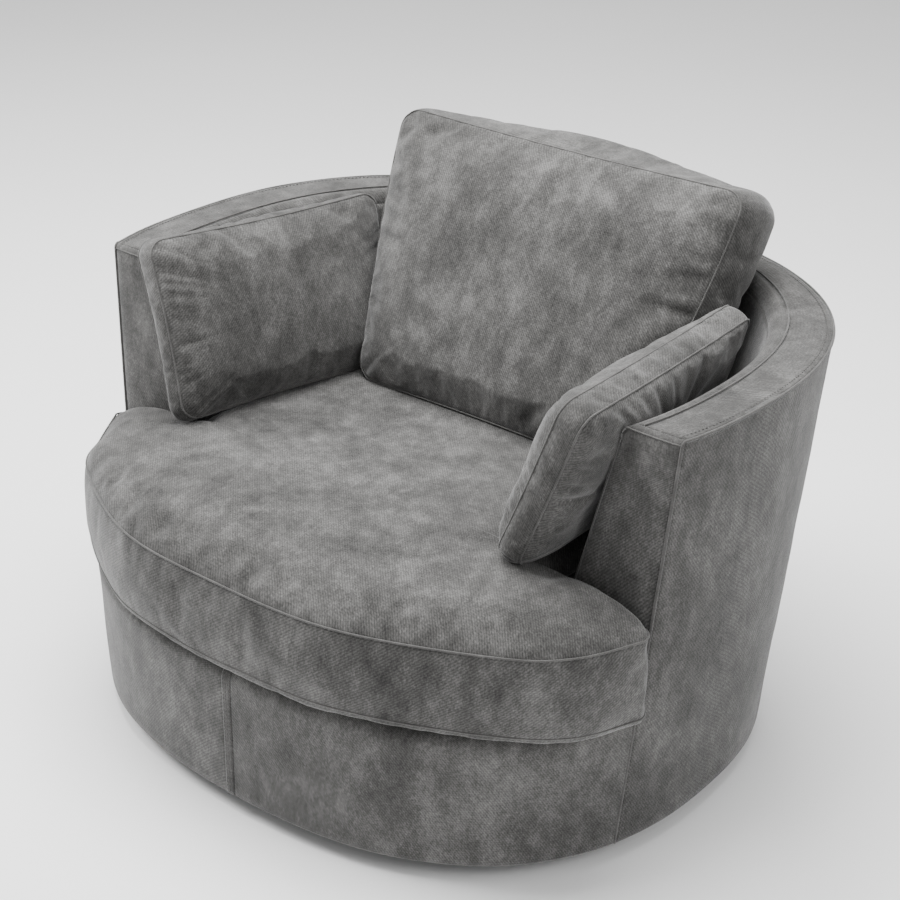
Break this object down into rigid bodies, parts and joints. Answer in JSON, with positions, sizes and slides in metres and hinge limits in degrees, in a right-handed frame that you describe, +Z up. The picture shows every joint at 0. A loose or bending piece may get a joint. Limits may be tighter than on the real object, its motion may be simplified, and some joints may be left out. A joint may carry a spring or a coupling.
{
  "type": "swivel armchair",
  "caption": "Round upholstered tub armchair that swivels on a hidden floor plate, with a T-shaped loose seat cushion, a leaning back cushion and side cushions.",
  "frame": {"origin": "on the floor, on the swivel axis", "axes": "+X to the viewer's right seen from the front, the chair faces -Y, +Z up along the swivel axis"},
  "size_m": [1.1123, 0.9681, 0.8048],
  "materials": {
    "upholstery": "soft woven velvet, mid grey",
    "foam": "open foam or wadding",
    "lining": "thin black lining cloth",
    "webbing": "woven elastic webbing",
    "ply": "bare plywood and sawn timber",
    "black_board": "plywood stained black",
    "fibreboard": "bare fibreboard",
    "steel": "zinc-plated steel",
    "spring_steel": "dark spring wire",
    "black_plastic": "moulded, matte",
    "nylon": "moulded nylon"
  },
  "bodies": {
    "floor_base": {"plinth": "black_board", "floor_glides": "black_plastic", "swivel_lower_plate": "steel", "lower_plate_screws": "steel", "swivel_pivot": "steel"},
    "ball_cage": {"ball_cage": "nylon", "bearing_balls": "steel"},
    "chair_shell": {"swivel_upper_plate": "steel", "upper_plate_bolts": "steel", "tee_nuts": "steel", "base_board": "ply", "dust_cover": "lining", "base_posts": "ply", "seat_ring": "ply", "wall_posts": "ply", "top_hoop": "ply", "arm_front_boards": "ply", "seat_springs": "spring_steel", "spring_clips": "black_plastic", "wall_webbing": "webbing", "spring_cloth": "lining", "deck_pad": "foam", "deck_cover": "lining", "front_cover_left": "upholstery", "front_cover_right": "upholstery", "edge_roll": "foam", "front_panel": "fibreboard", "rim_cover": "upholstery", "rim_padding": "foam", "inner_cover": "upholstery", "wall_padding": "foam", "outer_panel": "fibreboard", "outer_cover": "upholstery", "arm_front_cover_left": "upholstery", "arm_front_cover_right": "upholstery"},
    "seat_cushion": {"seat_cushion_cover": "upholstery", "seat_cushion_core": "foam"},
    "back_cushion": {"back_cushion_cover": "upholstery", "back_cushion_core": "foam"},
    "left_side_cushion": {"left_side_cushion_cover": "upholstery", "left_side_cushion_core": "foam"},
    "right_side_cushion": {"right_side_cushion_cover": "upholstery", "right_side_cushion_core": "foam"}
  },
  "joints": [
    {"name": "swivel", "type": "hinge", "parent": "floor_base", "child": "chair_shell", "pos_m": [0, 0, 0.022], "axis": [0, 0, 1], "continuous": true},
    {"name": "ball_cage_orbit", "type": "hinge", "parent": "floor_base", "child": "ball_cage", "pos_m": [0, 0, 0.022], "axis": [0, 0, 1], "continuous": true},
    {"name": "seat_cushion_lift", "type": "slide", "parent": "chair_shell", "child": "seat_cushion", "axis": [0, 0, 1], "range_m": [0, 0.45]},
    {"name": "back_cushion_lift", "type": "slide", "parent": "seat_cushion", "child": "back_cushion", "axis": [0, 0, 1], "range_m": [0, 0.4]},
    {"name": "left_side_cushion_lift", "type": "slide", "parent": "seat_cushion", "child": "left_side_cushion", "axis": [-0.208, 0, 0.9781], "range_m": [0, 0.32]},
    {"name": "right_side_cushion_lift", "type": "slide", "parent": "seat_cushion", "child": "right_side_cushion", "axis": [0.208, 0, 0.9781], "range_m": [0, 0.32]}
  ],
  "couplings": [
    {"joint": "ball_cage_orbit", "follows": "swivel", "ratio": 0.5}
  ]
}
